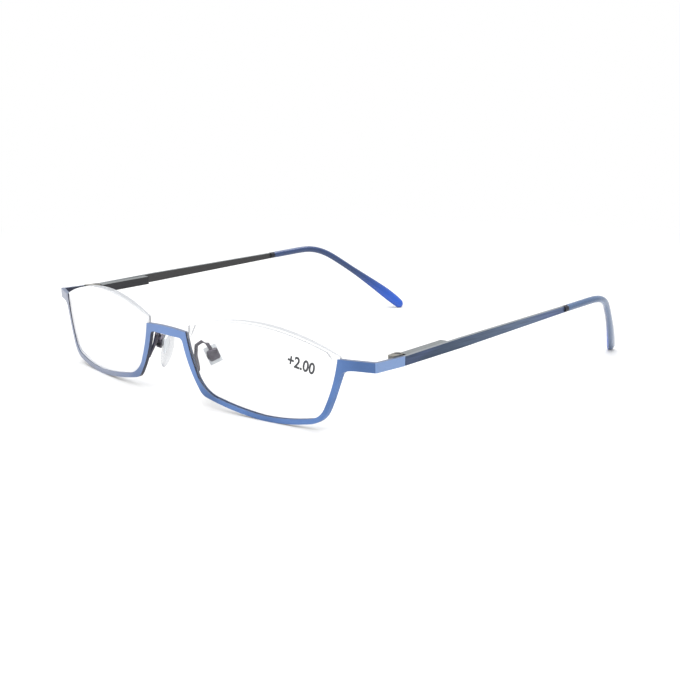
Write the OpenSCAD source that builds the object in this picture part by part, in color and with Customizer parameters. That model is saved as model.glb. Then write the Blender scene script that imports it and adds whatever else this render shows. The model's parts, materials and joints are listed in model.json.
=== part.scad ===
// Half-frame reading glasses: a flat-cut metal front that holds each lens from
// below, spring-hinged temples with plastic tips, and screw-on nose pads.
// X runs to the wearer's left, the front faces -Y, the temples run to +Y.
// The glasses stand open, on the lower rims and the temple tips, at z = 0.

/* [Lenses] */
// Width of a lens between the rim's top corners
lens_w = 50; // [46:0.5:54]
// Depth of the rim opening below the middle of the end piece
lens_drop = 16.75; // [14:0.1:20]
// Height of the lens crown above its top corners
lens_crown = 4.65; // [2:0.05:6]
// How far the lens stands above the bridge corner
lens_nose_rise = 1.7; // [0.5:0.1:3]
// Thickness of the lens at its middle
lens_centre_t = 2.6; // [2.2:0.05:3.2]
// Radius of the lens back surface, nearly flat for a reading power
lens_back_r = 1250; // [800:10:2000]

/* [Front] */
// Width of the bridge between the lenses
bridge_w = 17.1; // [14:0.1:22]
// Height of the bridge bar
bridge_h = 2.3; // [1.6:0.1:3.5]
// Rise of the bridge's arched top over its corners
bridge_arch = 0.4; // [0.1:0.05:1.5]
// Thickness of the metal front
front_t = 1.1; // [1.1:0.05:2]
// Face width of the rim beside the nose
rim_nose_w = 2.1; // [1.4:0.05:2.6]
// Face width of the rim under the lens
rim_base_w = 1.35; // [1.2:0.05:2.4]
// Face width of the rim at the temple side
rim_side_w = 1.3; // [1.2:0.05:2.6]
// Horizontal wrap radius of the front
wrap_r = 213; // [150:1:400]
// Forward tilt of the rims, in degrees
tilt = 3.0; // [0:0.1:10]
// Depth of the lens groove in the rim
groove_depth = 0.5; // [0.3:0.05:0.7]

/* [End pieces] */
// Height of the end piece bar
end_h = 2.6; // [1.8:0.1:4]
// Distance of the end piece's bend from the lens corner, along X
end_reach = 9.6; // [7:0.05:13]
// Angle of the end piece's first leg to the X axis
end_wrap = 23.3; // [15:0.1:30]
// Length of the leg from the bend back to the temple joint
end_leg = 10.8; // [9.5:0.1:14]

/* [Hinge] */
// Radius of the hinge ears round the screw
ear_r = 1.25; // [1.1:0.05:1.5]
// Height over both hinge ears
ears_h = 3.2; // [2.8:0.1:4]
// Height of the slot that takes the eye
eye_slot = 1.3; // [1:0.05:1.6]
// Radius of the hinge screw's shaft
screw_r = 0.55; // [0.45:0.05:0.7]
// Running clearance in the hinge
hinge_gap = 0.03; // [0.02:0.01:0.06]
// Gap between the end piece and the temple at the joint
joint_gap = 0.1; // [0.05:0.01:0.2]

/* [Spring box] */
// Length of the spring box
box_len = 16.5; // [14:0.5:22]
// Height of the spring box
box_h = 2.4; // [2.2:0.1:3]
// Distance of the box front from the hinge axis
box_start = 1.6; // [1.5:0.05:2.2]
// Radius of the spring chamber
chamber_r = 0.8; // [0.75:0.01:0.9]
// Radius of the shank
shank_r = 0.4; // [0.3:0.05:0.45]
// Wire diameter of the spring
spring_wire = 0.2; // [0.15:0.01:0.25]
// Number of curls of the spring
spring_curls = 8; // [5:1:10]
// Length of the spring as fitted
spring_len = 6.2; // [5:0.1:8]

/* [Temples] */
// Length of the temple bar from the hinge axis to the tip's collar
bar_len = 67.6; // [60:0.5:80]
// Thickness of the temple bar
bar_t = 1.0; // [0.8:0.05:1.4]
// Height of the bar at the joint
bar_h0 = 2.4; // [2:0.1:3.5]
// Greatest height of the bar, past the spring box
bar_h1 = 2.65; // [2.2:0.05:4]
// Height of the bar at the collar
bar_h2 = 1.7; // [1.4:0.1:2.4]
// How far the temples turn in, in degrees
converge = 4.0; // [0:0.5:7]
// How far the temples rise to the back, in degrees
rise = 2.6; // [0:0.1:5]

/* [Tips] */
// Straight length of the tip before its bend
tip_straight = 12.4; // [8:0.1:20]
// Radius of the ear bend
tip_bend_r = 15.4; // [10:0.1:25]
// Angle of the ear bend, in degrees
tip_bend = 43.6; // [25:0.1:60]
// Length of the tip past its bend
tip_drop = 30.75; // [20:0.05:34]
// Angle of the gentle curl past the bend
tip_curl = 7.4; // [2:0.1:15]
// How far the bend leans in towards the head, in degrees
tip_roll = 31.8; // [0:0.1:45]
// Diameter of the tip at its mouth
tip_d0 = 2.1; // [1.8:0.05:2.8]
// Thickness of the paddle at the tip's end
tip_end_t = 2.3; // [2.1:0.1:3.5]
// Width of the paddle at the tip's end
tip_end_w = 3.0; // [2.8:0.1:5]
// Length of the dark collar
collar_len = 1.5; // [1:0.1:3]
// Radius of the core wire
core_r = 0.6; // [0.4:0.05:0.7]

/* [Nose pads] */
// Length of a nose pad
pad_len = 13; // [10:0.5:16]
// Width of a nose pad
pad_w = 8.4; // [6:0.1:10]
// Thickness of a nose pad
pad_t = 2.1; // [1.6:0.1:3]
// Distance of a pad's middle from the middle of the nose
pad_out = 10.4; // [8.5:0.1:12]
// Distance of a pad's middle behind the front
pad_back = 8.5; // [7.5:0.1:11]
// Height of a pad's middle below the end pieces
pad_below = 6.9; // [5:0.1:9]
// Diameter of the pad arm's wire
arm_d = 1.0; // [0.8:0.05:1.3]

/* [Hidden] */
$fn = 48;

// Colours
blue_metal = [0.40, 0.55, 0.80];
bar_metal = [0.33, 0.40, 0.50];
grey_metal = [0.62, 0.62, 0.60];
dark_metal = [0.20, 0.17, 0.20];
tip_blue = [0.20, 0.40, 0.85, 0.8];
clear = [0.90, 0.93, 0.96, 0.35];

// Clearances
seat_gap = 0.05;      // between a lens and its rim
groove_gap = 0.04;    // round the lens tongue in the rim's groove
fit_gap = 0.03;       // between pieces of one body that seat in each other
relief_gap = 0.1;     // between the hinge eye and the end piece
ear_end_gap = 0.05;   // between the round of an ear and the end of the end piece
tab_gap = 0.12;       // each side of an insert's tab in its box
tab_end_gap = 0.1;    // between the round of the tab and the back of the box
pad_pin_gap = 0.04;   // round the pad screw in the insert's tab
box_pin_gap = 0.02;   // round the pad screw in its box
shank_gap = 0.05;     // round the shank in the front wall of the spring box
stop_gap = 0.06;      // round the stop in the spring chamber
sleeve_gap = 0.06;    // round the core wire in the tip
core_end_gap = 0.4;   // between the core wire's end and the end of its bore
collar_gap = 0.02;    // at each end of the collar

// Front: heights are measured from the middle of the end piece bar
corner_u = end_h / 2;
lens_in = bridge_w / 2;
lens_out = lens_in + lens_w;
low_x = lens_in + 0.535 * lens_w;
nose_v = [lens_in + 6.2, -lens_drop + 3.0];
side_v = [lens_out - 5.7, -lens_drop + 2.15];
nose_sag = 0.9;
side_sag = 0.75;
base_sag_in = 0.45;
base_sag_out = 0.6;
bend_n = 6;

// Lens shells, as depths behind the front face
lens_front_d = 0.25;
tongue_d0 = 0.29;
tongue_d1 = 0.81;
tongue = groove_depth - groove_gap;
cord_r = 0.2;
cord_depth = tongue_d0 + fit_gap + cord_r;
cord_leg = 2.0;
cord_set = 0.15;
lens_mid_u = -lens_drop / 2 + 2;
lens_turn = asin((lens_in + lens_w / 2) / wrap_r);

// End piece in plan: its start on the rim, its bend and its joint face
end_x0 = lens_out + 1.5;
end_y0 = wrap_y(end_x0);
bend_x = lens_out + end_reach;
bend_y = end_y0 + (bend_x - end_x0) * tan(end_wrap);
leg_dir = [-sin(converge), cos(converge)];
leg_out = [cos(converge), sin(converge)];
joint = [bend_x, bend_y] + leg_dir * end_leg;

// Hinge axis, set in from the outer face of the leg
pin_inset = 2.5;
pin = joint - leg_out * pin_inset + leg_dir * (joint_gap / 2);
eye_t = eye_slot - 2 * hinge_gap;
eye_r = ear_r - 0.05;
head_r = 0.9;
head_h = 0.3;
stop_r = chamber_r - stop_gap;
stop_t = 0.8;
front_wall = 1.0;
neck_w = 0.9;
stop_y = box_start + front_wall + spring_len + 2 * fit_gap;
chamber_end = stop_y + stop_t + 1.6;
spring_r = (chamber_r + shank_r) / 2;

// Tip path, rolled about the temple's own line
collar_y = bar_len;
mouth_y = collar_y + collar_len;
curl_r = tip_drop / (tip_curl * PI / 180);
bend_s = tip_bend_r * tip_bend * PI / 180;

// Depth of the wrapped front face at x, and an outline point lowered by it, so
// that the tilted front keeps its level edges
function wrap_y(x) = wrap_r - sqrt(pow(wrap_r, 2) - pow(x, 2));
function plan_y(x) =
    abs(x) <= end_x0 ? wrap_y(x) : end_y0 + (abs(x) - end_x0) * tan(end_wrap);
function level(p) = [p[0], p[1] - tan(tilt) * plan_y(p[0])];

// Points on a circular arc from p to q that bulges by s to the left of its run
function arc_pts(p, q, s, n) =
    let (m = (p + q) / 2, d = q - p, c = norm(d), k = [-d[1], d[0]] / c)
    [for (i = [0:n - 1]) let (t = i / n) p + d * t + k * s * 4 * t * (1 - t)];

// A corner at vertex v between p and q, as a short curve
function bend_pts(p, v, q, n) =
    [for (i = [0:n]) let (t = i / n) p * pow(1 - t, 2) + v * 2 * t * (1 - t) + q * pow(t, 2)];

// Unit vector of a 2-D vector
function unit(v) = v / norm(v);

// The sharp rim path of the left opening, from the nose corner down and round
// to the temple corner
rim_path = concat(
    arc_pts([lens_in, corner_u], nose_v, -nose_sag, 8),
    arc_pts(nose_v, [low_x, -lens_drop], -base_sag_in, 8),
    arc_pts([low_x, -lens_drop], side_v, -base_sag_out, 8),
    arc_pts(side_v, [lens_out, corner_u], -side_sag, 8),
    [[lens_out, corner_u]]);
nose_i = 8;
side_i = 24;

// Face width of the rim at step i of the path
function rim_w_at(i) =
    i <= nose_i ? rim_nose_w + (rim_base_w - rim_nose_w) * pow(i / nose_i, 2)
    : i <= side_i - 2 ? rim_base_w
    : rim_side_w + (rim_base_w - rim_side_w) * max(0, (side_i + 1 - i) / 3)
        + (i > side_i + 4 ? 0.25 * pow((i - side_i - 4) / 2, 2) : 0);

// The path moved outwards by width w(i) at each step, or by g where w is 0
function grown(path, g, widths = false) =
    [for (i = [0:len(path) - 1])
        let (a = path[max(i - 1, 0)], b = path[i], c = path[min(i + 1, len(path) - 1)],
             d0 = i == 0 ? unit(c - b) : unit(b - a),
             d1 = i == len(path) - 1 ? d0 : unit(c - b),
             n0 = [d0[1], -d0[0]], n1 = [d1[1], -d1[0]], m = unit(n0 + n1),
             w = widths ? rim_w_at(i) : g)
        b + m * (w / (m * n1))];

// The path with its vertex k rounded over a distance r
function round_at(path, k, r) =
    let (v = path[k],
         head = [for (i = [0:k - 1]) if (norm(path[i] - v) > r) path[i]],
         tail = [for (i = [k + 1:len(path) - 1]) if (norm(path[i] - v) > r) path[i]],
         p = v + unit(path[k - 1] - v) * r, q = v + unit(path[k + 1] - v) * r)
    concat(head, bend_pts(p, v, q, bend_n), tail);

function round_rim(path, rn, rs) = round_at(round_at(path, side_i, rs), nose_i, rn);

inner_rim = round_rim(rim_path, 4.2, 2.6);
outer_rim = round_rim(grown(rim_path, 0, true), 1.6, 3.4);
pivot_z = -min([for (p = outer_rim) p[1]]) * cos(tilt);

// Lens outline: the rim path drawn in by a seat gap, with its corners and crown
lens_top_in = [lens_in + seat_gap + 0.05, corner_u + lens_nose_rise];
lens_top_out = [lens_out - seat_gap - 0.2, corner_u + 0.4];
function crown(g, n = 16) = arc_pts(lens_top_out + [0, -g], lens_top_in + [0, -g], -lens_crown, n);
function lens_edge(g) = round_rim(grown(rim_path, g), 4.2 + g, 2.6 + g);

// Plan and depth helpers of the wrapped front
module shell(d0, d1, h = 60)
    translate([0, wrap_r, -h / 2])
    difference() {
        cylinder(r = wrap_r - d0, h = h, $fn = 360);
        translate([0, 0, -1])
        cylinder(r = wrap_r - d1, h = h + 2, $fn = 360);
    }

module face_plate(points, y0 = -5, y1 = 40)
    translate([0, y1, 0])
    rotate([90, 0, 0])
    linear_extrude(y1 - y0)
    polygon([for (p = points) level(p)]);

module both_sides() {
    children();
    mirror([1, 0, 0])
    children();
}

// From the tilted front's own frame, at the middle of the bar, to the part's
module place_front()
    translate([0, shift_y, pivot_z])
    rotate([tilt, 0, 0])
    children();

module place_level()
    translate([0, shift_y, pivot_z])
    children();

module side(left)
    if (left)
        children();
    else
        mirror([1, 0, 0])
        children();

// Hinge frame: origin on the hinge axis, Y along the temple in plan
module place_hinge()
    place_level()
    translate([pin[0], pin[1], 0])
    rotate([0, 0, converge])
    children();

// Temple frame: the hinge frame, rising to the back
module place_temple()
    place_hinge()
    rotate([rise, 0, 0])
    children();

// Front frame: one flat outline, mirrored about the middle of the nose
bridge_low = corner_u + bridge_arch - bridge_h;
fillet_r = 1.3;
outer_last = len(outer_rim) - 1;

// Outer edge of the rim at height u, on the nose side and on the temple side
nose_head = [for (i = [0:6]) [-outer_rim[i][1], outer_rim[i][0]]];
side_tail = [for (i = [outer_last - 8:outer_last]) [outer_rim[i][1], outer_rim[i][0]]];
function nose_at(u) = lookup(-u, nose_head);
function side_at(u) = lookup(u, side_tail);

// The fillet under the end piece, which starts on the plane x = end_x0
gusset_u = -corner_u - 1.3;
gusset_x = side_at(gusset_u) + 3.7;
end_low_u = lookup(end_x0, [for (p = side_tail) [p[1], p[0]]]);
gusset_edge = bend_pts([gusset_x, -corner_u], [side_at(-corner_u) + 0.1, -corner_u],
    [side_at(gusset_u), gusset_u], 6);
lap = 0.4;
inset = 0.02;
end_top = corner_u - inset;
end_face = concat([[end_x0 - lap, end_top], [bend_x + 3, end_top], [bend_x + 3, -corner_u]],
    gusset_edge, [[end_x0 - lap, gusset_u - 0.1]]);
outer_back = [for (i = [outer_last:-1:0]) outer_rim[i]];
edge_step = 0.2;
function on_edge(p) = p[1] < (p[0] > low_x ? end_low_u : bridge_low - fillet_r) - edge_step;
outer_edge = [for (p = outer_back) if (on_edge(p)) p];
nose_fillet = bend_pts([nose_at(bridge_low - fillet_r), bridge_low - fillet_r],
    [nose_at(bridge_low), bridge_low], [nose_at(bridge_low) - fillet_r, bridge_low], 5);
bridge_top = arc_pts([-lens_in, corner_u], [lens_in, corner_u], bridge_arch, 12);
front_half = concat(inner_rim, [[end_x0, corner_u], [end_x0, end_low_u]], outer_edge, nose_fillet);
front_outline = concat(bridge_top, front_half,
    [for (i = [len(front_half) - 1:-1:1]) [-front_half[i][0], front_half[i][1]]]);

// The end piece: a leg out from the rim with a tight bend, tilted as the rims
// are, and a level leg back to the joint; each laps into the one before
end_in = front_t;
plan_dir = [cos(end_wrap), sin(end_wrap)];
plan_in = [-sin(end_wrap), cos(end_wrap)];
bend_at = [bend_x, bend_y];
bend_half = (90 + converge - end_wrap) / 2;
bend_mitre = bend_at + unit(plan_in - leg_out) * (end_in / cos(bend_half));
bend_round = 0.7;
turn_len = 0.9;
out_plan = concat(
    [[end_x0 - lap, wrap_y(end_x0 - lap) + inset], [end_x0, end_y0 + inset]],
    bend_pts(bend_at - plan_dir * bend_round, bend_at, bend_at + leg_dir * bend_round, 4),
    [bend_at + leg_dir * turn_len, bend_at + leg_dir * turn_len - leg_out * end_in, bend_mitre,
        [end_x0, end_y0 + end_in / cos(end_wrap)],
        [end_x0 - lap, wrap_y(end_x0 - lap) + end_in / cos(end_wrap)]]);
back_start = bend_at + leg_dir * (turn_len - lap);
back_end = joint - leg_dir * (joint_gap / 2);
back_plan = [back_start - leg_out * inset, back_end - leg_out * inset,
    back_end - leg_out * (end_in - inset), back_start - leg_out * (end_in - inset)];
back_half = corner_u - 2 * inset;

module end_out()
    intersection() {
        translate([0, 0, -end_h * 2])
        linear_extrude(end_h * 4)
        polygon(out_plan);
        face_plate(end_face);
    }

module end_back()
    translate([0, 0, -back_half])
    linear_extrude(2 * back_half)
    polygon(back_plan);

module lens_groove()
    intersection() {
        shell(tongue_d0 - groove_gap, tongue_d1 + groove_gap);
        face_plate(concat([[lens_in - groove_depth, corner_u + 8]],
            lens_edge(groove_depth), [[lens_out + groove_depth, corner_u + 8]]));
    }

// Relief in the end piece, round the hinge eye
module eye_relief()
    place_hinge()
    cylinder(r = eye_r + relief_gap, h = eye_slot, center = true);

module front_frame()
    color(blue_metal)
    difference() {
        union() {
            place_front() {
                intersection() {
                    shell(0, front_t);
                    face_plate(front_outline);
                }
                both_sides()
                end_out();
            }
            place_level()
            both_sides()
            end_back();
        }
        place_front()
        both_sides()
        lens_groove();
        both_sides()
        eye_relief();
    }

// Lens: a plus lens with a tongue for the rim's groove and a groove for its cord
tongue_top = corner_u - cord_leg - 0.4;
lens_body = concat([lens_top_in], lens_edge(-seat_gap), crown(0));
cord_inset = 2 * cord_r + seat_gap;
tongue_root = 0.8;
tongue_in = lens_edge(-tongue_root);
tongue_band = concat(
    [for (p = lens_edge(tongue)) if (p[1] < tongue_top) p],
    [for (i = [len(tongue_in) - 1:-1:0]) if (tongue_in[i][1] < tongue_top) tongue_in[i]]);
crown_low = crown(cord_inset);
crown_band = concat(
    [[lens_in - 1, corner_u - cord_leg], [lens_in - 1, corner_u + lens_nose_rise + lens_crown + 3],
        [lens_out + 1, corner_u + lens_nose_rise + lens_crown + 3], [lens_out + 1, corner_u - cord_leg],
        [lens_out - cord_inset - 0.4, corner_u - cord_leg]],
    [for (i = [1:len(crown_low) - 1]) crown_low[i]],
    [[lens_in + cord_inset + 0.35, corner_u - cord_leg]]);

// Blank: a lens turned about its own axis, which runs forward from the centre
// of the front sphere; profiles hold distance from the axis and height along it
blank_r = 0.6 * lens_w + 1;
front_r = wrap_r - lens_front_d;
back_centre = lens_back_r - front_r + lens_centre_t;
back_steps = 10;
back_arc = [for (i = [0:back_steps])
    let (r = blank_r * i / back_steps)
    [r, sqrt(pow(lens_back_r, 2) - pow(r, 2)) - back_centre]];

module place_lens_axis()
    translate([0, wrap_r, lens_mid_u])
    rotate([0, 0, lens_turn])
    rotate([90, 0, 0])
    children();

module lens_blank()
    place_lens_axis()
    rotate_extrude($fn = 180)
    intersection() {
        circle(r = front_r, $fn = 1440);
        polygon(concat(back_arc, [[blank_r, wrap_r], [0, wrap_r]]));
    }

module cord_shell()
    place_lens_axis()
    rotate_extrude($fn = 180)
    intersection() {
        difference() {
            circle(r = wrap_r - tongue_d0, $fn = 1440);
            circle(r = wrap_r - tongue_d1, $fn = 1440);
        }
        translate([0, wrap_r / 2])
        square([blank_r + 4, wrap_r]);
    }

module lens_half()
    difference() {
        union() {
            intersection() {
                lens_blank();
                face_plate(lens_body, -2, 20);
            }
            intersection() {
                shell(tongue_d0, tongue_d1);
                face_plate(tongue_band, -2, 20);
            }
        }
        intersection() {
            cord_shell();
            face_plate(crown_band, -2, 20);
        }
    }

module lens(left)
    color(clear)
    place_front()
    side(left)
    lens_half();

// A skin over a list of rings with equal counts, closed at both ends
module skin(rings) {
    m = len(rings[0]);
    n = len(rings);
    points = [for (r = rings) each r];
    sides = [for (i = [0:n - 2], j = [0:m - 1], k = [0, 1])
        let (a = i * m + j, b = i * m + (j + 1) % m, c = a + m, d = b + m)
        k == 0 ? [a, c, b] : [b, c, d]];
    first = [for (j = [0:m - 1]) j];
    last = [for (j = [m - 1:-1:0]) (n - 1) * m + j];
    polyhedron(points = points, faces = concat(sides, [first], [last]), convexity = 6);
}

// Rings of radius r along a 3-D path, with one steady side direction
function cross3(a, b) = [a[1] * b[2] - a[2] * b[1], a[2] * b[0] - a[0] * b[2], a[0] * b[1] - a[1] * b[0]];
function dir3(path, i) = unit(path[min(i + 1, len(path) - 1)] - path[max(i - 1, 0)]);
function tube_rings(path, r, m, up) =
    [for (i = [0:len(path) - 1])
        let (t = dir3(path, i), u = unit(up - t * (up * t)), v = cross3(t, u))
        [for (j = [0:m - 1]) path[i] + r * (u * cos(360 * j / m) + v * sin(360 * j / m))]];

// Cord: up out of the groove, over the crown and down into the groove again
function on_lens(p, d) =
    let (u = level(p)[1])
    [p[0], wrap_r - sqrt(pow(wrap_r - d, 2) - pow(p[0], 2) - pow(u - lens_mid_u, 2)), u];
inner_nose = [for (i = [0:4]) [-inner_rim[i][1], inner_rim[i][0]]];
inner_last = len(inner_rim) - 1;
inner_side = [for (i = [inner_last - 4:inner_last]) [inner_rim[i][1], inner_rim[i][0]]];
function cord_nose(u) = [lookup(-u, inner_nose) - cord_set, u];
function cord_side(u) = [lookup(u, inner_side) + cord_set, u];
cord_flat = concat(
    [cord_nose(corner_u - cord_leg), cord_nose(corner_u - 0.4)],
    bend_pts([lens_in + 0.1, corner_u + 0.5], lens_top_in + [cord_r, -cord_r - 0.05],
        lens_top_in + [2.0, 0.45], 4),
    [for (i = [2:15]) let (c = crown(cord_r, 16)) c[16 - i]],
    [[lens_top_out[0] - 0.55, lens_top_out[1] - 0.2], cord_side(corner_u - 0.9),
        cord_side(corner_u - cord_leg)]);

module cord_half()
    skin(tube_rings([for (p = cord_flat) on_lens(p, cord_depth)], cord_r, 8, [0, 1, 0]));

module lens_cord(left)
    color(clear)
    place_front()
    side(left)
    cord_half();

// Nose pads: frame at the middle of the pad, X away from the nose, Z up the pad
pad_angles = [23.5, -11.7, -34.5];
module place_pad()
    place_level()
    translate([pad_out, pad_back, -pad_below])
    rotate(pad_angles)
    children();

// Pad frame sizes
pad_bow = 0.42;
pad_taper = 0.12;
pad_box_x = pad_t / 2 + 0.35;
pad_box_z = 1.4;
pad_box_w = 3.1;
pad_box_h = 3.0;
pad_box_t = 1.7;
pad_box_wall = 0.3;
pad_slot = 1.1;
tab_t = pad_slot - 2 * tab_gap;
tab_r = 0.6;
pad_axis_x = pad_box_x + pad_box_t - pad_box_wall - tab_end_gap - tab_r;
pad_screw_r = 0.3;
pad_head_r = 0.6;
pad_head_t = 0.25;

module pad_skin() {
    rows = [[0.55, -0.5], [0.8, -0.47], [0.94, -0.36], [1.0, -0.12],
        [1.0, 0.1], [0.93, 0.36], [0.8, 0.46], [0.6, 0.5]];
    skin([for (k = rows)
        [for (i = [0:27])
            let (a = 360 * i / 28, w = pad_w / 2 * k[0], l = pad_len / 2 * k[0],
                 py = w * cos(a) * (1 - pad_taper * sin(a)), pz = l * sin(a))
            [k[1] * pad_t + pad_bow * pow(2 * pz / pad_len, 2), py, pz]]]);
}

insert_w = 3.6;
insert_h = 5.0;
insert_t = 0.5;
insert_x = pad_t / 2 - 0.45 - insert_t;

// The pad screw's line, across the pad
module place_pad_axis()
    translate([pad_axis_x, 0, pad_box_z])
    rotate([90, 0, 0])
    children();

module insert_solid(g = 0)
    union() {
        translate([insert_x - g, -insert_w / 2 - g, pad_box_z - insert_h / 2 - g])
        cube([insert_t + 2 * g, insert_w + 2 * g, insert_h + 2 * g]);
        place_pad_axis()
        translate([0, 0, -tab_t / 2 - g])
        linear_extrude(tab_t + 2 * g)
        union() {
            circle(r = tab_r + g);
            translate([insert_x + insert_t / 2 - pad_axis_x, -tab_r - g])
            square([pad_axis_x - insert_x - insert_t / 2, 2 * (tab_r + g)]);
        }
    }

module pad_insert(left)
    color(grey_metal)
    side(left)
    place_pad()
    difference() {
        insert_solid();
        place_pad_axis()
        cylinder(r = pad_screw_r + pad_pin_gap, h = 2 * tab_t, center = true);
    }

module nose_pad(left)
    color(clear)
    side(left)
    place_pad()
    difference() {
        pad_skin();
        insert_solid(0.01);
    }

module pad_box()
    difference() {
        translate([pad_box_x, -pad_box_w / 2, pad_box_z - pad_box_h / 2])
        cube([pad_box_t, pad_box_w, pad_box_h]);
        translate([0, -pad_slot / 2, pad_box_z + pad_box_wall - pad_box_h / 2])
        cube([pad_box_x + pad_box_t - pad_box_wall, pad_slot, pad_box_h - 2 * pad_box_wall]);
        place_pad_axis()
        cylinder(r = pad_screw_r + box_pin_gap, h = 2 * pad_box_w, center = true);
    }

module pad_screw(left)
    color(grey_metal)
    side(left)
    place_pad()
    place_pad_axis() {
        cylinder(r = pad_screw_r, h = pad_box_w, center = true);
        translate([0, 0, pad_box_w / 2])
        cylinder(r = pad_head_r, h = pad_head_t);
    }

// A point of the pad frame in the level frame
function turn_x(p, a) = [p[0], p[1] * cos(a) - p[2] * sin(a), p[1] * sin(a) + p[2] * cos(a)];
function turn_y(p, a) = [p[0] * cos(a) + p[2] * sin(a), p[1], p[2] * cos(a) - p[0] * sin(a)];
function turn_z(p, a) = [p[0] * cos(a) - p[1] * sin(a), p[0] * sin(a) + p[1] * cos(a), p[2]];
function pad_to_level(p) =
    turn_z(turn_y(turn_x(p, pad_angles[0]), pad_angles[1]), pad_angles[2])
        + [pad_out, pad_back, -pad_below];

// Arm: square off the back of the rim, up and over to the top of the box
arm_root_u = -8.8;
arm_root_x = lens_in + 2.45;
arm_root = [arm_root_x, wrap_y(arm_root_x) + front_t - arm_root_u * sin(tilt) + fit_gap, arm_root_u];
arm_end_x = pad_box_x + pad_box_t - arm_d / 2;
arm_end_z = pad_box_z + pad_box_h / 2;
arm_pts = [arm_root, arm_root + [-0.03, 0.5, 0.03], arm_root + [-0.6, 0.75, 1.3],
    [9.1, 3.0, -5.2], [8.75, 3.5, -2.6], [9.7, 4.6, -1.6], [10.9, 5.6, -2.2],
    pad_to_level([arm_end_x, -0.1, arm_end_z + 0.4]),
    pad_to_level([arm_end_x, -0.1, arm_end_z - pad_box_wall / 2])];
module arm_wire()
    skin(tube_rings(arm_pts, arm_d / 2, 8, [1, 1, 0]));

module pad_arm(left)
    color(dark_metal)
    side(left)
    union() {
        place_level()
        arm_wire();
        place_pad()
        pad_box();
    }

// Hinge ears: two round lugs on a block against the end piece
ear_gap_in = pin_inset - front_t;
ear_root = 3.4;
ear_heel = 0.4;
ear_lean = 0.5;
ear_web = 0.1;
module ear_profile()
    difference() {
        union() {
            circle(r = ear_r);
            translate([0, -ear_root])
            square([ear_gap_in, ear_root]);
            polygon([[-ear_r, 0], [ear_lean - ear_r, ear_heel - ear_root], [ear_web, -ear_root],
                [ear_web, 0]]);
        }
        translate([ear_gap_in, -ear_root])
        square([ear_r, ear_root - joint_gap + ear_end_gap]);
    }

module ears_half()
    difference() {
        translate([0, 0, -ears_h / 2])
        linear_extrude(ears_h)
        ear_profile();
        translate([-3, -1.5, -eye_slot / 2])
        cube([6, 6, eye_slot]);
        translate([0, 0, -ears_h])
        cylinder(r = screw_r + hinge_gap, h = 2 * ears_h);
        translate([0, 0, ears_h / 2 - head_h - hinge_gap])
        cylinder(r = head_r + hinge_gap, h = 1);
    }

module hinge_ears(left)
    color(grey_metal)
    side(left)
    place_hinge()
    ears_half();

slot_w = 0.28;
slot_deep = 0.2;
module screw_half()
    difference() {
        union() {
            translate([0, 0, -ears_h / 2])
            cylinder(r = screw_r, h = ears_h - head_h);
            translate([0, 0, ears_h / 2 - head_h])
            cylinder(r = head_r, h = head_h);
        }
        translate([-2, -slot_w / 2, ears_h / 2 - slot_deep])
        cube([4, slot_w, 1]);
    }

module hinge_screw(left)
    color(grey_metal)
    side(left)
    place_hinge()
    screw_half();

// Eye with its shank, which runs through the box's front wall
shank_y0 = 1.0;
module eye_half()
    union() {
        difference() {
            union() {
                translate([0, 0, -eye_t / 2])
                cylinder(r = eye_r, h = eye_t);
                translate([-neck_w / 2, 0, -eye_t / 2])
                cube([neck_w, box_start - 0.08, eye_t]);
            }
            translate([0, 0, -eye_t])
            cylinder(r = screw_r + hinge_gap, h = 2 * eye_t);
        }
        rotate([rise, 0, 0])
        translate([0, shank_y0, 0])
        rotate([-90, 0, 0])
        cylinder(r = shank_r, h = stop_y + stop_t - shank_y0);
    }

module hinge_eye(left)
    color(grey_metal)
    side(left)
    place_hinge()
    eye_half();

module spring_stop(left)
    color(grey_metal)
    side(left)
    place_temple()
    translate([0, stop_y, 0])
    rotate([-90, 0, 0])
    difference() {
        cylinder(r = stop_r, h = stop_t);
        translate([0, 0, -1])
        cylinder(r = shank_r, h = stop_t + 2);
    }

// Spring: one unbroken wire, eight rings a curl
spring_y0 = box_start + front_wall + fit_gap + spring_wire / 2;
spring_run = spring_len - spring_wire;
spring_pts = [for (i = [0:8 * spring_curls])
    let (a = 45 * i)
    [spring_r * cos(a), spring_y0 + spring_run * i / (8 * spring_curls), spring_r * sin(a)]];
spring_gap_min = min([for (i = [0:len(spring_pts) - 1], j = [i + 5:1:len(spring_pts) - 1])
    norm(spring_pts[i] - spring_pts[j])]) - spring_wire;
echo(spring_least_gap_mm = spring_gap_min);

module flex_spring(left)
    color(grey_metal)
    side(left)
    place_temple()
    skin(tube_rings(spring_pts, spring_wire / 2, 6, [0, 1, 0]));

// Spring box: brazed to the inside of the bar
box_in = 1.15;
bar_in = pin_inset - bar_t;
module box_half()
    difference() {
        translate([-box_in, box_start, -box_h / 2])
        cube([bar_in + box_in, box_len, box_h]);
        rotate([-90, 0, 0])
        cylinder(r = shank_r + shank_gap, h = box_start + 2);
        translate([0, box_start + front_wall, 0])
        rotate([-90, 0, 0])
        cylinder(r = chamber_r, h = chamber_end - box_start - front_wall);
        translate([-box_in, box_start + box_len, -3])
        rotate([0, 0, -60])
        translate([-4, 0, 0])
        cube([4, 6, 6]);
    }

module spring_box(left)
    color(grey_metal)
    side(left)
    place_temple()
    box_half();

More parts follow.
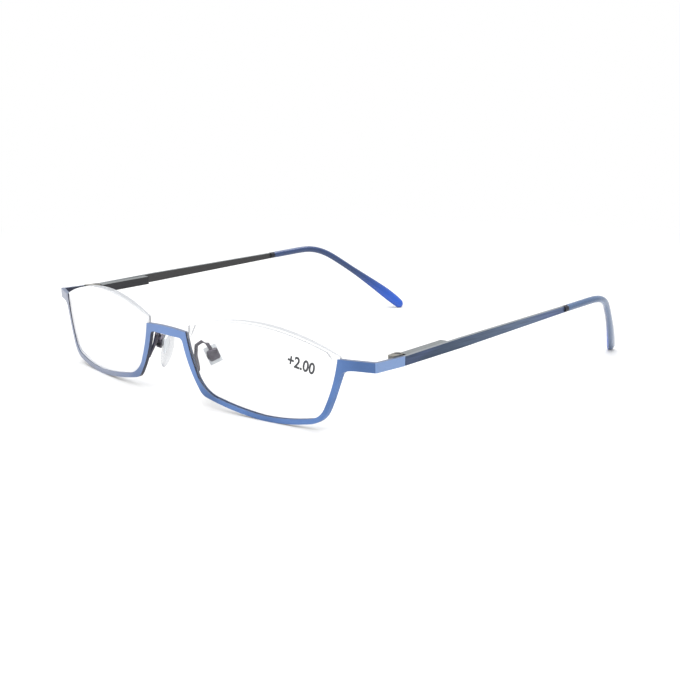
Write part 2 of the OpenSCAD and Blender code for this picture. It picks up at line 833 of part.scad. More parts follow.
// Temple bar: side outline, extruded by its thickness, with the core wire
bar_y0 = joint_gap / 2;
bar_mid_y = 22;
bar_outline = concat(
    [[bar_y0, -bar_h0 / 2]],
    arc_pts([bar_y0 + 4, -bar_h0 / 2], [bar_mid_y, -bar_h1 / 2], 0, 4),
    arc_pts([bar_mid_y, -bar_h1 / 2], [collar_y, -bar_h2 / 2], 0.05, 6),
    [[collar_y, -bar_h2 / 2], [collar_y, bar_h2 / 2]],
    arc_pts([collar_y, bar_h2 / 2], [bar_mid_y, bar_h1 / 2], 0.05, 6),
    arc_pts([bar_mid_y, bar_h1 / 2], [bar_y0 + 4, bar_h0 / 2], 0, 4),
    [[bar_y0 + 4, bar_h0 / 2], [bar_y0, bar_h0 / 2]]);
core_x = bar_in + bar_t / 2;

module bar_plate()
    translate([bar_in, 0, 0])
    rotate([90, 0, 90])
    linear_extrude(bar_t)
    polygon(bar_outline);

// Core frame: on the bar's middle line, with the bend's plane rolled in
module place_core()
    translate([core_x, mouth_y, 0])
    rotate([0, tip_roll, 0])
    children();

module core_wire()
    place_core()
    skin(concat([tip_ring(-collar_len - 0.5, 2 * core_r, 2 * core_r, 12)],
        [for (i = [0:16]) tip_ring(core_len * i / 16, 2 * core_r, 2 * core_r, 12)]));

module temple(left)
    color(bar_metal)
    side(left)
    place_temple()
    union() {
        bar_plate();
        core_wire();
    }

// A point of the tip's line at distance s past the mouth, in the core frame
function tip_at(s) =
    s < tip_straight ? [0, s, 0]
    : s < tip_straight + bend_s
        ? let (a = (s - tip_straight) / bend_s * tip_bend)
          [0, tip_straight + tip_bend_r * sin(a), -tip_bend_r * (1 - cos(a))]
        : let (b = (s - tip_straight - bend_s) / tip_drop * tip_curl,
               y0 = tip_straight + tip_bend_r * sin(tip_bend),
               z0 = -tip_bend_r * (1 - cos(tip_bend)))
          [0, y0 + curl_r * (sin(tip_bend + b) - sin(tip_bend)),
              z0 - curl_r * (cos(tip_bend) - cos(tip_bend + b))];
function tip_angle(s) =
    s < tip_straight ? 0
    : s < tip_straight + bend_s ? (s - tip_straight) / bend_s * tip_bend
    : tip_bend + (s - tip_straight - bend_s) / tip_drop * tip_curl;
tip_len = tip_straight + bend_s + tip_drop;

// An oval ring across the tip's line: w across the bend's plane, t in it
function tip_ring(s, t, w, m = 16) =
    let (c = tip_at(s), a = tip_angle(s), n = [0, sin(a), cos(a)])
    [for (j = [0:m - 1]) c + [1, 0, 0] * (t / 2 * cos(-360 * j / m)) + n * (w / 2 * sin(-360 * j / m))];

swell_s = tip_straight + bend_s + 0.3 * tip_drop;
paddle_len = 5;
function swell(s) = s < swell_s ? 0 : min(1, (s - swell_s) / (tip_len - swell_s - paddle_len));
function tip_t(s) = tip_d0 + (tip_end_t - tip_d0) * swell(s);
function tip_w(s) = tip_d0 + (tip_end_w - tip_d0) * swell(s);
bore_end = tip_len * 0.8;
collar_step = 0.08;
core_len = bore_end - core_end_gap;
bore_r = core_r + sleeve_gap;
end_round = 1.7;
mouth_ease = 0.3;

tip_outer = concat(
    [for (k = [0:1]) let (d = tip_d0 - mouth_ease * (1 - k)) tip_ring(mouth_ease * k, d, d)],
    [for (i = [1:18]) let (s = (tip_len - end_round) * i / 18) tip_ring(s, tip_t(s), tip_w(s))],
    [for (i = [1:5])
        let (a = 90 * i / 5.4, s = tip_len - end_round + end_round * sin(a), k = cos(a))
        tip_ring(s, tip_t(s) * k, tip_w(s) * k)]);
tip_bore = [for (i = [14:-1:0]) tip_ring(bore_end * i / 14, 2 * bore_r, 2 * bore_r)];

// A point of the core frame in the level frame, then the part's middle in Y
function core_to_level(p) =
    let (q = [p[0] * cos(tip_roll) + p[2] * sin(tip_roll) + core_x, p[1] + mouth_y,
             p[2] * cos(tip_roll) - p[0] * sin(tip_roll)],
         y = q[1] * cos(rise) - q[2] * sin(rise))
    [pin[0] + q[0] * cos(converge) - y * sin(converge),
        pin[1] + q[0] * sin(converge) + y * cos(converge),
        q[1] * sin(rise) + q[2] * cos(rise)];
front_y = -(corner_u + bridge_arch) * sin(tilt);
back_y = max([for (r = tip_outer, p = r) core_to_level(p)[1]]);
shift_y = -(front_y + back_y) / 2;
echo(tip_height_over_floor_mm = pivot_z + min([for (r = tip_outer, p = r) core_to_level(p)[2]]));

module temple_tip(left)
    color(tip_blue)
    side(left)
    place_temple()
    place_core()
    skin(concat(tip_bore, tip_outer));

module tip_collar(left)
    color(dark_metal)
    side(left)
    place_temple()
    translate([core_x, collar_y + collar_gap, 0])
    rotate([-90, 0, 0])
    difference() {
        cylinder(r = tip_d0 / 2 - collar_step, h = collar_len - 2 * collar_gap);
        translate([0, 0, -1])
        cylinder(r = core_r + fit_gap, h = collar_len + 2);
    }

front_frame();
lens(true);  // lens_left
lens(false);  // lens_right
lens_cord(true);  // lens_cord_left
lens_cord(false);  // lens_cord_right
pad_arm(true);  // pad_arm_left
pad_arm(false);  // pad_arm_right
pad_screw(true);  // pad_screw_left
pad_screw(false);  // pad_screw_right
pad_insert(true);  // pad_insert_left
pad_insert(false);  // pad_insert_right
nose_pad(true);  // nose_pad_left
nose_pad(false);  // nose_pad_right
hinge_ears(true);  // hinge_ears_left
hinge_ears(false);  // hinge_ears_right
hinge_screw(true);  // hinge_screw_left
hinge_screw(false);  // hinge_screw_right
hinge_eye(true);  // hinge_eye_left
hinge_eye(false);  // hinge_eye_right
flex_spring(true);  // flex_spring_left
flex_spring(false);  // flex_spring_right
spring_stop(true);  // spring_stop_left
spring_stop(false);  // spring_stop_right
spring_box(true);  // spring_box_left
spring_box(false);  // spring_box_right
temple(true);  // temple_left
temple(false);  // temple_right
tip_collar(true);  // tip_collar_left
tip_collar(false);  // tip_collar_right
temple_tip(true);  // temple_tip_left
temple_tip(false);  // temple_tip_right
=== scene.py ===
"""Half-frame reading glasses, standing open on a white floor."""

import json
import math

import bmesh
import bpy
from mathutils import Matrix, Vector
from mathutils.bvhtree import BVHTree


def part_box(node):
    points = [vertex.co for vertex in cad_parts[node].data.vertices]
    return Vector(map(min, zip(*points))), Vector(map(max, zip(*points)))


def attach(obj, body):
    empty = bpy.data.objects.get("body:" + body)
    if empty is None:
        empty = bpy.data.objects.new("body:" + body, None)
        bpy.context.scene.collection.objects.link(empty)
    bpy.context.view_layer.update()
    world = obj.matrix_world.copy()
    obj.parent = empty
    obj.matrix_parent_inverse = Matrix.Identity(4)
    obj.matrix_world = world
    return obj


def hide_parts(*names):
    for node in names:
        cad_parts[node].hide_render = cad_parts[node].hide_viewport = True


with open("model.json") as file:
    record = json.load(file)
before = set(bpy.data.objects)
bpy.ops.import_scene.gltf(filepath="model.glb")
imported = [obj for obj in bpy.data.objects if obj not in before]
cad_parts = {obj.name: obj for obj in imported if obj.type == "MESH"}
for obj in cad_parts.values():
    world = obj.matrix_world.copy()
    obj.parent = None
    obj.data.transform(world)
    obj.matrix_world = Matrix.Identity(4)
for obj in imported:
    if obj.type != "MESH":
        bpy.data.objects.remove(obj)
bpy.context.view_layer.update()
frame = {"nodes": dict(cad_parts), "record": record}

MM = 0.001
SIDES = ("left", "right")


# Camera, at the photograph's angle

CAMERA_AT = Vector((336.45, -319.43, 108.14)) * MM
CAMERA_YAW = 46.85
CAMERA_PITCH = 12.445
CAMERA_LENS = 84.63
CAMERA_SENSOR = 36.0
CAMERA_CLIP = (0.01, 20.0)


def place_camera():
    data = bpy.data.cameras.new("camera")
    data.lens = CAMERA_LENS
    data.sensor_width = CAMERA_SENSOR
    data.clip_start, data.clip_end = CAMERA_CLIP
    camera = bpy.data.objects.new("camera", data)
    camera.location = CAMERA_AT
    camera.rotation_euler = (math.radians(90.0 - CAMERA_PITCH), 0.0, math.radians(CAMERA_YAW))
    bpy.context.scene.collection.objects.link(camera)
    bpy.context.scene.camera = camera


# Materials

class Wire:
    """An output socket; sums and products on it add Math nodes."""

    def __init__(self, nodes, socket):
        self.nodes = nodes
        self.socket = socket

    def __add__(self, other):
        return self.nodes.math("ADD", self, other)

    def __radd__(self, other):
        return self.nodes.math("ADD", other, self)

    def __sub__(self, other):
        return self.nodes.math("SUBTRACT", self, other)

    def __rsub__(self, other):
        return self.nodes.math("SUBTRACT", other, self)

    def __mul__(self, other):
        return self.nodes.math("MULTIPLY", self, other)

    def __rmul__(self, other):
        return self.nodes.math("MULTIPLY", other, self)


class Nodes:
    """A node tree and the few ways this scene adds nodes to it."""

    def __init__(self, tree):
        self.tree = tree

    def make(self, kind, settings, inputs, output=0):
        node = self.tree.nodes.new(kind)
        for key, value in settings.items():
            setattr(node, key, value)
        for key, value in inputs.items():
            self.join(node.inputs[key], value)
        return Wire(self, node.outputs[output])

    def join(self, socket, value):
        if isinstance(value, Wire):
            self.tree.links.new(value.socket, socket)
        else:
            socket.default_value = value

    def math(self, operation, a, b=0.0):
        return self.make("ShaderNodeMath", {"operation": operation}, {0: a, 1: b})

    def mix(self, factor, a, b):
        return self.make("ShaderNodeMix", {"data_type": "RGBA"}, {0: factor, 6: a, 7: b}, 2)

    def seen(self):
        """1 for rays of the eye, also by mirrors and clear pieces, and 0 for those that light."""
        eye, mirrored, through = [
            self.make("ShaderNodeLightPath", {}, {}, f"Is {kind} Ray")
            for kind in ("Camera", "Glossy", "Transmission")]
        return self.math("MAXIMUM", eye, self.math("MAXIMUM", mirrored, through))

    def place(self):
        return self.make("ShaderNodeTexCoord", {}, {}, "Object")

    def axes(self, wire):
        return [self.make("ShaderNodeSeparateXYZ", {}, {0: wire}, axis) for axis in "XYZ"]

    def facing(self):
        return self.axes(self.make("ShaderNodeTexCoord", {}, {}, "Normal"))

    def spot(self):
        return self.axes(self.place())

    def outward(self, x, px):
        """How far a face looks away from the middle of the glasses, -1 to 1."""
        return x * self.math("SIGN", px)

    def stretched(self, turn, scale):
        return self.make("ShaderNodeMapping", {}, {
            "Vector": self.place(), "Rotation": [math.radians(a) for a in turn], "Scale": scale})

    def noise(self, where, scale, detail=2.0, roughness=0.5):
        return self.make("ShaderNodeTexNoise", {}, {
            "Vector": where, "Scale": scale, "Detail": detail, "Roughness": roughness})

    def span(self, value, low, high):
        return self.make("ShaderNodeMapRange", {"interpolation_type": "SMOOTHSTEP"}, {
            "Value": value, "From Min": low, "From Max": high})

    def bump(self, height, strength, distance):
        return self.make("ShaderNodeBump", {}, {
            "Height": height, "Strength": strength, "Distance": distance})

    def grazing(self):
        return self.make("ShaderNodeLayerWeight", {}, {"Blend": 0.5}, "Facing")


class Look(Nodes):
    """A material, with its shader's numbers and the wires that feed it."""

    def __init__(self, name):
        self.material = bpy.data.materials.new(name)
        self.material.use_nodes = True
        super().__init__(self.material.node_tree)
        self.shader = self.tree.nodes["Principled BSDF"]

    def numbers(self, **values):
        for key, value in values.items():
            self.shader.inputs[key.replace("_", " ")].default_value = value

    def feed(self, name, wire):
        self.join(self.shader.inputs[name], wire)


def tone(r, g, b):
    """A screen colour of 0 to 255 as the light that it stands for."""
    light = []
    for value in (r, g, b):
        if value > 10:
            light.append(((value / 255 + 0.055) / 1.055) ** 2.4)
        else:
            light.append(value / 255 / 12.92)
    return (*light, 1.0)


# Where the looks change, in metres: across and back from the middle, and up from the floor

BRIDGE_ACROSS = (0.007, 0.015)
RIM_SIDE_ACROSS = (0.046, 0.050)
END_PIECE_ACROSS = (0.058, 0.062)
BEND_ACROSS = (0.061, 0.066)
BAR_BACK = (-0.045, 0.022)
TIP_UP = (0.002, 0.020)
PADDLE_UP = (0.0025, 0.0140)
LENS_TOP_UP = (0.0175, 0.0200)

# Grain of the metals: the turn, in degrees, lays it along the temples

BAR_TURN = (2.6, 0, 0)
METAL_GRAIN = 2600.0
METAL_PATCH = 420.0


def satin_blue():
    """Front: satin blue lacquer on the faces, with painted light: the bare walls painted dark as
    shade and paler where they face up as a reflection of the light above, the bridge and the
    outward bend painted lighter as highlights, and the faces painted whiter at a shallow angle as
    a sheen.
    """
    look = Look("satin_blue")
    x, y, z = look.facing()
    px, _, _ = look.spot()
    out = look.math("ABSOLUTE", px)
    side = look.outward(x, px)
    drift = look.noise(look.place(), 45.0)
    face = look.mix(look.span(drift, 0.35, 0.65), tone(62, 95, 146), tone(88, 124, 182))
    # painted highlight: the bridge is painted lighter than the faces beside it
    bridge_highlight = 1.0 - look.span(out, *BRIDGE_ACROSS)
    face = look.mix(bridge_highlight * 0.6, face, tone(112, 140, 190))
    # painted highlight: the bend of the end piece, where it faces outward, is painted lighter
    bend_highlight = look.span(out, *BEND_ACROSS) * look.span(side, 0.5, 0.85)
    face = look.mix(bend_highlight, face, tone(120, 148, 194))
    # painted sheen: the flat faces and the end pieces are painted whiter at a shallow angle
    flat = look.span(look.math("ABSOLUTE", y), 0.70, 0.90)
    sheen = look.math("MAXIMUM", flat, look.span(out, *END_PIECE_ACROSS))
    painted_sheen = look.span(look.grazing(), 0.45, 0.60) * sheen
    face = look.mix(painted_sheen * 0.8, face, tone(140, 143, 154))
    # painted shade on the walls, dark where they stand upright, and a painted reflection of the
    # light above where they face up
    wall_light_and_shade = look.mix(look.span(z, 0.3, 0.75), tone(22, 28, 52), tone(84, 98, 126))
    outer = look.span(out, *RIM_SIDE_ACROSS) * look.span(side, 0.4, 0.7)
    look.feed("Base Color", look.mix(look.math("MAXIMUM", flat, outer), wall_light_and_shade, face))
    grain = look.noise(look.stretched((0, 0, 0), (900.0, 900.0, 9000.0)), 1.0)
    look.feed("Roughness", 0.34 + drift * 0.12 + grain * 0.05)
    look.feed("Normal", look.bump(grain, 0.25, 0.00003))
    look.numbers(Metallic=0.45, Coat_Weight=0.3, Coat_Roughness=0.3)
    return look.material


def brushed_bar():
    """Temple bars: brushed gunmetal, lighter and bluer to the back, with painted light: the side
    that faces the head painted a darker grey as shade, the thin edges painted pale on top as lit
    from above and dark underneath as shade.
    """
    look = Look("brushed_bar")
    x, _, z = look.facing()
    px, py, _ = look.spot()
    along = look.span(py, *BAR_BACK)
    streak = look.noise(look.stretched(BAR_TURN, (500.0, 90.0, 5200.0)), 1.0, 3.0, 0.6)
    patch = look.noise(look.stretched(BAR_TURN, (60.0, 38.0, 240.0)), 1.0)
    face = look.mix(along, tone(62, 76, 96), tone(108, 124, 150))
    face = look.mix(look.span(patch, 0.38, 0.68) * 0.6, face, tone(92, 106, 150))
    face = look.mix(look.span(streak, 0.3, 0.75) * 0.5, face, tone(48, 56, 70))
    # painted shade: the side that faces the head is painted a darker grey
    outside = look.span(look.outward(x, px), -0.3, 0.3)
    face = look.mix(outside, look.mix(streak, tone(60, 60, 60), tone(76, 75, 76)), face)
    # painted light and shade on the thin edges: pale where they face up, dark where they face
    # down
    edge = look.span(look.math("ABSOLUTE", z), 0.6, 0.9)
    top = look.mix(look.span(z, -0.2, 0.2), tone(40, 46, 58), tone(132, 138, 142))
    look.feed("Base Color", look.mix(edge, face, top))
    look.feed("Roughness", 0.28 + streak * 0.2)
    look.feed("Normal", look.bump(streak, 0.35, 0.00004))
    look.numbers(Metallic=0.85)
    return look.material


def box_metal():
    """Spring boxes: grey metal, painted pale on top as a reflection of the light above and dark
    on the other faces as shade.
    """
    look = Look("box_metal")
    _, _, z = look.facing()
    streak = look.noise(look.stretched(BAR_TURN, (500.0, 120.0, 4200.0)), 1.0, 3.0, 0.6)
    # painted shade on the sides and a painted reflection of the light above on top
    side = look.mix(streak, tone(42, 42, 46), tone(66, 66, 68))
    top = look.mix(streak, tone(98, 102, 104), tone(128, 132, 134))
    look.feed("Base Color", look.mix(look.span(z, 0.5, 0.9), side, top))
    look.feed("Roughness", 0.34 + streak * 0.2)
    look.feed("Normal", look.bump(streak, 0.3, 0.00004))
    look.numbers(Metallic=0.7)
    return look.material


def plain_metal(name, colour, dark, rough, metal=0.9):
    """Small turned and brazed pieces: a metal with a fine grain and duller patches."""
    look = Look(name)
    grain = look.noise(look.place(), METAL_GRAIN, 3.0, 0.6)
    patch = look.noise(look.place(), METAL_PATCH)
    look.feed("Base Color", look.mix(look.span(patch, 0.3, 0.75), tone(*colour), tone(*dark)))
    look.feed("Roughness", rough + grain * 0.16)
    look.feed("Normal", look.bump(grain, 0.2, 0.00002))
    look.numbers(Metallic=metal)
    return look.material


def clear_blue():
    """Tips: cloudy blue plastic, navy on the side of the head, vivid in the thick end, with
    painted light: paler where it faces up and towards the lower end of its outer side, and a pale
    painted sheen at its outline.
    """
    look = Look("clear_blue")
    x, _, z = look.facing()
    px, _, pz = look.spot()
    cloud = look.noise(look.place(), 260.0)
    outer = look.mix(cloud, tone(62, 92, 134), tone(86, 114, 152))
    # painted light: the outer side is painted paler towards its lower end
    outer = look.mix(1.0 - look.span(pz, *TIP_UP), outer, tone(90, 112, 146))
    inner = look.mix(cloud, tone(26, 52, 100), tone(38, 68, 118))
    # painted light: the side of the head is painted paler where it faces up
    inner = look.mix(look.span(z, 0.35, 0.95), inner, tone(74, 92, 138))
    inner = look.mix(1.0 - look.span(pz, *PADDLE_UP), inner, tone(24, 88, 200))
    turned = look.span(look.outward(x, px), -0.35, 0.35)
    shade = look.mix(turned, inner, outer)
    # painted sheen: paler at the outline, where it is seen at a shallow angle
    rim = look.span(look.grazing(), 0.5, 0.95)
    look.feed("Base Color", look.mix(rim * 0.25, shade, tone(150, 170, 200)))
    look.feed("Roughness", 0.10 + cloud * 0.10)
    look.numbers(Transmission_Weight=0.18, IOR=1.47, Coat_Weight=0.4, Coat_Roughness=0.08)
    return look.material


def clear_lens():
    """Lenses: clear and polished, with a white veil at a shallow angle as a painted reflection,
    and a ground grey edge.
    """
    look = Look("clear_lens")
    _, y, _ = look.facing()
    _, _, pz = look.spot()
    ground = look.noise(look.place(), 3000.0)
    edge = 1.0 - look.span(look.math("ABSOLUTE", y), 0.55, 0.85)
    upper = look.span(pz, *LENS_TOP_UP)
    matt = look.mix(ground, tone(146, 149, 154), tone(168, 171, 176))
    look.feed("Base Color", look.mix(edge * upper, tone(252, 253, 255), matt))
    look.feed("Roughness", 0.03 + edge * (0.22 + ground * 0.1))
    # painted reflection: a white veil that thickens at a shallow angle
    painted_reflection_veil = 0.03 + look.span(look.grazing(), 0.34, 0.54) * 0.72
    look.feed("Alpha", painted_reflection_veil * (1.0 - edge) + edge * (0.05 + 0.70 * upper))
    look.numbers(IOR=1.5)
    return look.material


def clear_soft(name, colour, thin, thick):
    """Pads and cords: clear plastic with a faint cloud, seen mostly at its outline, where it is
    painted grey and less clear as shade.
    """
    look = Look(name)
    cloud = look.noise(look.place(), 500.0)
    # painted shade: grey and less clear at the outline
    rim = look.span(look.grazing(), 0.30, 0.75)
    shade = 0.15 * cloud + 0.85 * rim
    look.feed("Base Color", look.mix(shade, tone(248, 250, 252), tone(*colour)))
    look.feed("Roughness", 0.08 + cloud * 0.06)
    look.feed("Alpha", thin + (thick - thin) * rim)
    look.numbers(IOR=1.41)
    return look.material


def mark_ink():
    """The power mark: thin grey print."""
    look = Look("mark_ink")
    speck = look.noise(look.place(), 6000.0)
    look.feed("Base Color", look.mix(speck, tone(46, 48, 52), tone(78, 80, 84)))
    look.numbers(Roughness=0.7)
    return look.material


# Pieces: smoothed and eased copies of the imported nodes

BODIES = frame["record"]["behaviour"]["bodies"]
BODY_OF = {node: body for body, nodes in BODIES.items() for node in nodes}
SAME_POINT = 0.002 * MM
FLAT_ANGLE = math.radians(0.6)
EASE_ANGLE = math.radians(32.0)


def node_form(node):
    """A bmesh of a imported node, with its loose triangles joined up."""
    form = bmesh.new()
    form.from_mesh(frame["nodes"][node].data)
    bmesh.ops.remove_doubles(form, verts=form.verts, dist=SAME_POINT)
    return form


def flat_form(node):
    """The same, with each flat face in one piece."""
    form = node_form(node)
    bmesh.ops.dissolve_limit(form, angle_limit=FLAT_ANGLE, verts=form.verts, edges=form.edges)
    return form


def shown(form, name, material):
    """Makes an object of the form."""
    mesh = bpy.data.meshes.new(name)
    form.to_mesh(mesh)
    form.free()
    mesh.materials.append(material)
    piece = bpy.data.objects.new(name, mesh)
    bpy.context.scene.collection.objects.link(piece)
    return piece


def finished(form, name, material, node):
    """Makes a smooth object of the form, riding with the node and standing for it."""
    piece = shown(form, name, material)
    for polygon in piece.data.polygons:
        polygon.use_smooth = True
    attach(piece, BODY_OF[node])
    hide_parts(node)
    return piece


def eased(node, name, material, width):
    """A node with its sharp edges slightly rounded."""
    piece = finished(flat_form(node), name, material, node)
    bevel = piece.modifiers.new("ease", "BEVEL")
    bevel.width = width * MM
    bevel.segments = 2
    bevel.limit_method = "ANGLE"
    bevel.angle_limit = EASE_ANGLE
    bevel.use_clamp_overlap = True
    weighted = piece.modifiers.new("flat_faces", "WEIGHTED_NORMAL")
    weighted.keep_sharp = True
    return piece


# Pad arms: the corners of the box, in radians and metres, and the skin that joins box and wire

BOX_CORNER = 1.0
BOX_EDGE = 1.2 * MM
BOX_ROUND = 0.6 * MM
BRAZE_GRAIN = 0.07 * MM
BRAZE_PASSES = 36
BRAZE_FULL = 0.05 * MM


def box_edges(form):
    """The sharp edges of the pad box: those of its back, and those that run to the front."""
    back = max(form.faces, key=lambda f: f.calc_area())
    edges = [e for e in back.edges if e.calc_face_angle(0.0) > BOX_CORNER]
    for corner in back.verts:
        for edge in corner.link_edges:
            if back not in edge.link_faces and edge.calc_length() > BOX_EDGE:
                edges.append(edge)
    return edges


def brazed(node, name, material):
    """A pad arm, its box rounded and its wire softened, so that both run together."""
    form = flat_form(node)
    bmesh.ops.bevel(form, geom=box_edges(form), offset=BOX_ROUND, offset_type="OFFSET",
        segments=4, profile=0.5, affect="EDGES", clamp_overlap=False, material=-1)
    piece = finished(form, name, material, node)
    skin = piece.modifiers.new("skin", "REMESH")
    skin.mode = "VOXEL"
    skin.voxel_size = BRAZE_GRAIN
    skin.use_smooth_shade = True
    soft = piece.modifiers.new("soft", "SMOOTH")
    soft.factor = 0.5
    soft.iterations = BRAZE_PASSES
    full = piece.modifiers.new("full", "DISPLACE")
    full.strength = BRAZE_FULL
    full.mid_level = 0.0
    return piece


# The paddle of a tip: where it starts, how much it widens, and how far down it is widest

PADDLE_TOP = 15.0 * MM
PADDLE_BAND = 1.5 * MM
PADDLE_FOOT = 3.0 * MM
PADDLE_REACH = 2.0 * MM
PADDLE_SWELL = 0.34
PADDLE_WIDEST = 0.80
PADDLE_FALL = 0.65
UP = Vector((0.0, 0.0, 1.0))


def paddle_centre(form, low, high):
    """The middle of the points between two heights."""
    ring = [v.co for v in form.verts if low < v.co.z < high]
    return sum(ring, Vector()) / len(ring)


def tip_form(node):
    """A temple tip, its end widened to a paddle on both sides of its middle line."""
    form = node_form(node)
    upper = paddle_centre(form, PADDLE_TOP - PADDLE_BAND, PADDLE_TOP + PADDLE_BAND)
    lower = paddle_centre(form, 0.0, PADDLE_FOOT)
    along = (lower - upper).normalized()
    reach = (lower - upper).length
    wide = (UP - along * UP.dot(along)).normalized()
    low, high = [Vector(corner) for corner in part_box(node)]
    for vert in form.verts:
        run = (vert.co - upper).dot(along)
        if run > 0.0 and vert.co.z < PADDLE_TOP + PADDLE_REACH:
            rise = min(run / (PADDLE_WIDEST * reach), 1.0)
            fall = min(max(run / reach - PADDLE_WIDEST, 0.0) / (1.0 - PADDLE_WIDEST), 1.0)
            smooth = rise * rise * (3.0 - 2.0 * rise)
            swell = PADDLE_SWELL * smooth * (1.0 - PADDLE_FALL * fall)
            off = (vert.co - upper).dot(wide)
            vert.co += wide * (off * swell)
            vert.co.y = min(vert.co.y, high.y)
            vert.co.z = max(vert.co.z, low.z)
    return form


# Angles, for joining triangles in pairs and for the crisp edge of a lens

QUAD_BEND = math.radians(60)
QUAD_SKEW = math.radians(70)
LENS_CRISP = math.radians(20)


def rounded(form, node, name, material, level):
    """A swept node made smooth."""
    bmesh.ops.join_triangles(form, faces=form.faces, angle_face_threshold=QUAD_BEND,
        angle_shape_threshold=QUAD_SKEW)
    piece = finished(form, name, material, node)
    smooth = piece.modifiers.new("smooth", "SUBSURF")
    smooth.levels = level
    smooth.render_levels = level
    return piece


def polished(node, name, material):
    """A lens, smooth over its surfaces and crisp at its edge."""
    form = node_form(node)
    for edge in form.edges:
        if len(edge.link_faces) == 2 and edge.calc_face_angle(0.0) > LENS_CRISP:
            edge.smooth = False
    return finished(form, name, material, node)


# The nose pad: half its thickness, width and height, its turns, and the form of its oval

PAD_HALF = Vector((1.05, 4.2, 6.5)) * MM
PAD_TURN = {"X": 23.5, "Y": -11.7, "Z": -34.5}
PAD_PLUMP = 0.8
PAD_BOW = 0.42 * MM
PAD_TAPER = 0.12


def pad_form(node, side):
    """A nose pad: a flattened oval, narrower at its top, its ends bent away from the nose."""
    low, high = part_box(node)
    middle = (Vector(low) + Vector(high)) / 2
    form = bmesh.new()
    bmesh.ops.create_uvsphere(form, u_segments=40, v_segments=24, radius=1.0)
    for vert in form.verts:
        x, y, z = vert.co
        thick = math.copysign(abs(x) ** PAD_PLUMP, x) * PAD_HALF.x + PAD_BOW * z * z
        wide = y * PAD_HALF.y * (1 - PAD_TAPER * z)
        vert.co = Vector((thick, wide, z * PAD_HALF.z))
    turn_x, turn_y, turn_z = [
        Matrix.Rotation(math.radians(turn), 4, axis) for axis, turn in PAD_TURN.items()]
    bmesh.ops.transform(form, matrix=turn_z @ turn_y @ turn_x, verts=form.verts)
    if side == "right":
        bmesh.ops.transform(form, matrix=Matrix.Scale(-1, 4, (1, 0, 0)), verts=form.verts)
        bmesh.ops.recalc_face_normals(form, faces=form.faces)
    spots = [v.co for v in form.verts]
    centre = Vector([(min(c[i] for c in spots) + max(c[i] for c in spots)) / 2 for i in range(3)])
    bmesh.ops.translate(form, vec=middle - centre, verts=form.verts)
    return form


# The power mark on the left lens: a generic number, printed in grey

MARK_FROM = Vector((43.5, 0.0, 16.1)) * MM
MARK_HEIGHT = 3.0 * MM
MARK_DIGIT = 0.73
MARK_WEIGHT = 0.03
MARK_NARROW = 0.87
MARK_SLOPE = -11.5
MARK_STEP = 0.8 * MM
MARK_PRINT = 0.03 * MM


def power_mark(material):
    """The number's flat digits, laid on the front of the left lens."""
    text = bpy.data.curves.new("power_mark", "FONT")
    text.body = "+2.00"
    text.size = MARK_HEIGHT / MARK_DIGIT
    text.offset = MARK_WEIGHT * text.size
    text.resolution_u = 6
    holder = bpy.data.objects.new("power_mark_text", text)
    bpy.context.scene.collection.objects.link(holder)
    bpy.context.view_layer.update()
    drawn = holder.evaluated_get(bpy.context.evaluated_depsgraph_get())
    form = bmesh.new()
    form.from_mesh(drawn.to_mesh())
    drawn.to_mesh_clear()
    bpy.data.objects.remove(holder)
    bmesh.ops.scale(form, vec=(MARK_NARROW, 1.0, 1.0), verts=form.verts)
    upright = Matrix.Rotation(math.radians(90), 4, "X")
    sloped = Matrix.Rotation(math.radians(-MARK_SLOPE), 4, "Y")
    bmesh.ops.transform(form, matrix=sloped @ upright, verts=form.verts)
    bmesh.ops.translate(form, vec=MARK_FROM, verts=form.verts)
    long_edges = [e for e in form.edges if e.calc_length() > MARK_STEP]
    bmesh.ops.subdivide_edges(form, edges=long_edges, cuts=2)
    lens = node_form("lens_left")
    surface = BVHTree.FromBMesh(lens)
    lens.free()
    for vert in form.verts:
        hit = surface.ray_cast(Vector((vert.co.x, -1.0, vert.co.z)), Vector((0.0, 1.0, 0.0)))[0]
        vert.co.y = hit.y - MARK_PRINT
    piece = shown(form, "power_mark", material)
    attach(piece, "front")


# Floor, surroundings and lamps

WHITE = (1.0, 1.0, 1.0, 1.0)
FLOOR_TONE = (0.84, 0.84, 0.84, 1.0)
FLOOR_GLOW = 0.1
FLOOR_GLOW_AWAY = 0.9
FLOOR_AWAY = (0.12, 0.30)
FLOOR_HALF = 6.0
FLOOR_AT = (0.0, 0.0, -0.00002)
WORLD_LIGHT = 0.6
WORLD_SEEN = 1.0


def white_floor():
    """White floor that shows bright to the eye and keeps the glasses' shadow."""
    look = Look("floor_white")
    look.numbers(Base_Color=FLOOR_TONE, Roughness=1.0, Specular_IOR_Level=0.0)
    px, py, _ = look.spot()
    away = look.span(look.math("SQRT", px * px + py * py), *FLOOR_AWAY)
    share = look.seen() * (FLOOR_GLOW + FLOOR_GLOW_AWAY * away)
    glow = look.make("ShaderNodeEmission", {}, {"Color": WHITE, "Strength": 1.0})
    plain = Wire(look, look.shader.outputs[0])
    both = look.make("ShaderNodeMixShader", {}, {0: share, 1: plain, 2: glow})
    look.join(look.tree.nodes["Material Output"].inputs[0], both)
    form = bmesh.new()
    bmesh.ops.create_grid(form, x_segments=1, y_segments=1, size=FLOOR_HALF)
    floor = shown(form, "floor", look.material)
    floor.location = FLOOR_AT


def white_world():
    """White surroundings, less bright as a light than to the eye."""
    world = bpy.data.worlds.new("surroundings")
    world.use_nodes = True
    bpy.context.scene.world = world
    nodes = Nodes(world.node_tree)
    level = nodes.make("ShaderNodeMapRange", {}, {
        "Value": nodes.seen(), "To Min": WORLD_LIGHT, "To Max": WORLD_SEEN})
    back = nodes.tree.nodes["Background"]
    nodes.join(back.inputs["Color"], WHITE)
    nodes.join(back.inputs["Strength"], level)


# Lamps, each with its place, width in metres and power in watts

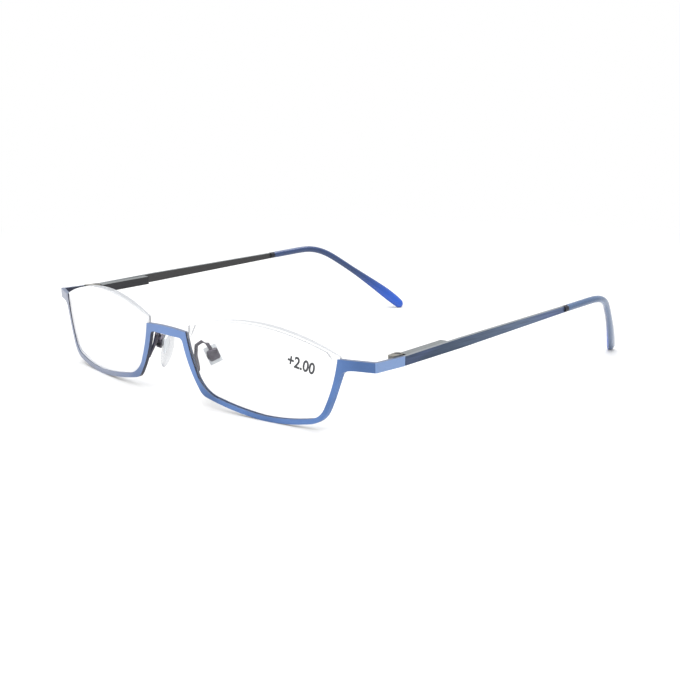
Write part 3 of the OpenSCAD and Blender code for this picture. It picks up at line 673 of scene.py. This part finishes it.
LAMPS = {
    "key": ((0.35, -0.55, 0.95), 0.9, 8.0),
    "top": ((-0.15, 0.25, 1.10), 1.2, 9.0),
    "strip": ((-0.85, -0.17, 0.10), 0.35, 2.0),
}
LAMPS_AIM = Vector((0.0, 0.0, 0.01))


def lamp(name, at, size, power):
    """A round lamp that shines on the middle of the glasses."""
    data = bpy.data.lights.new(name, "AREA")
    data.shape = "DISK"
    data.size = size
    data.energy = power
    light = bpy.data.objects.new(name, data)
    light.location = at
    light.rotation_euler = (LAMPS_AIM - Vector(at)).to_track_quat("-Z", "Y").to_euler()
    bpy.context.scene.collection.objects.link(light)


# The scene

place_camera()

LOOKS = {
    "satin_blue": satin_blue(),
    "brushed_bar": brushed_bar(),
    "box_metal": box_metal(),
    "hinge_grey": plain_metal("hinge_grey", (150, 148, 140), (112, 108, 98), 0.28),
    "arm_dark": plain_metal("arm_dark", (88, 84, 94), (54, 50, 58), 0.24, 0.7),
    "screw_dark": plain_metal("screw_dark", (40, 38, 40), (22, 20, 22), 0.30, 0.6),
    # painted shade: the dark ring at the mouth of each tip stands for the shade in the open end
    # of the sleeve
    "tip_mouth_shade": plain_metal("tip_mouth_shade", (34, 36, 48), (20, 22, 30), 0.35, 0.3),
    "insert_grey": plain_metal("insert_grey", (240, 243, 246), (220, 224, 228), 0.30, 0.2),
    "spring_wire": plain_metal("spring_wire", (170, 172, 176), (120, 122, 128), 0.25),
    "clear_blue": clear_blue(),
    "clear_lens": clear_lens(),
    "clear_pad": clear_soft("clear_pad", (136, 140, 150), 0.02, 0.6),
    "clear_cord": clear_soft("clear_cord", (170, 176, 186), 0.10, 0.35),
    "mark_ink": mark_ink(),
}

# Pieces that get eased edges, with their look and the width of the edge in millimetres

EASED = {
    "hinge_ears": ("hinge_grey", 0.08),
    "hinge_eye": ("hinge_grey", 0.06),
    "spring_box": ("box_metal", 0.35),
    "temple": ("brushed_bar", 0.09),
}

# Pieces that stay as they were packed, with their look

PLAIN = {
    "pad_screw": "screw_dark",
    "pad_insert": "insert_grey",
    "hinge_screw": "screw_dark",
    "flex_spring": "spring_wire",
    "spring_stop": "hinge_grey",
    # painted shade: the dark ring stands for the shade in the open end of the sleeve
    "tip_collar": "tip_mouth_shade",
}

FRONT_EASED = 0.20
CORD_SMOOTH = 1
TIP_SMOOTH = 2

eased("front_frame", "front_look", LOOKS["satin_blue"], FRONT_EASED)
for side in SIDES:
    for part, (finish, width) in EASED.items():
        eased(f"{part}_{side}", f"{part}_look_{side}", LOOKS[finish], width)
    for part, finish in PLAIN.items():
        node = frame["nodes"][f"{part}_{side}"]
        node.data.materials.clear()
        node.data.materials.append(LOOKS[finish])
    brazed(f"pad_arm_{side}", f"pad_arm_look_{side}", LOOKS["arm_dark"])
    polished(f"lens_{side}", f"lens_look_{side}", LOOKS["clear_lens"])
    cord = f"lens_cord_{side}"
    rounded(node_form(cord), cord, f"cord_look_{side}", LOOKS["clear_cord"], CORD_SMOOTH)
    tip = f"temple_tip_{side}"
    rounded(tip_form(tip), tip, f"tip_look_{side}", LOOKS["clear_blue"], TIP_SMOOTH)
    pad = f"nose_pad_{side}"
    finished(pad_form(pad, side), f"pad_look_{side}", LOOKS["clear_pad"], pad)
power_mark(LOOKS["mark_ink"])

white_floor()
white_world()
for name, (at, size, power) in LAMPS.items():
    lamp(name, at, size, power)
bpy.context.scene.view_settings.view_transform = "Standard"
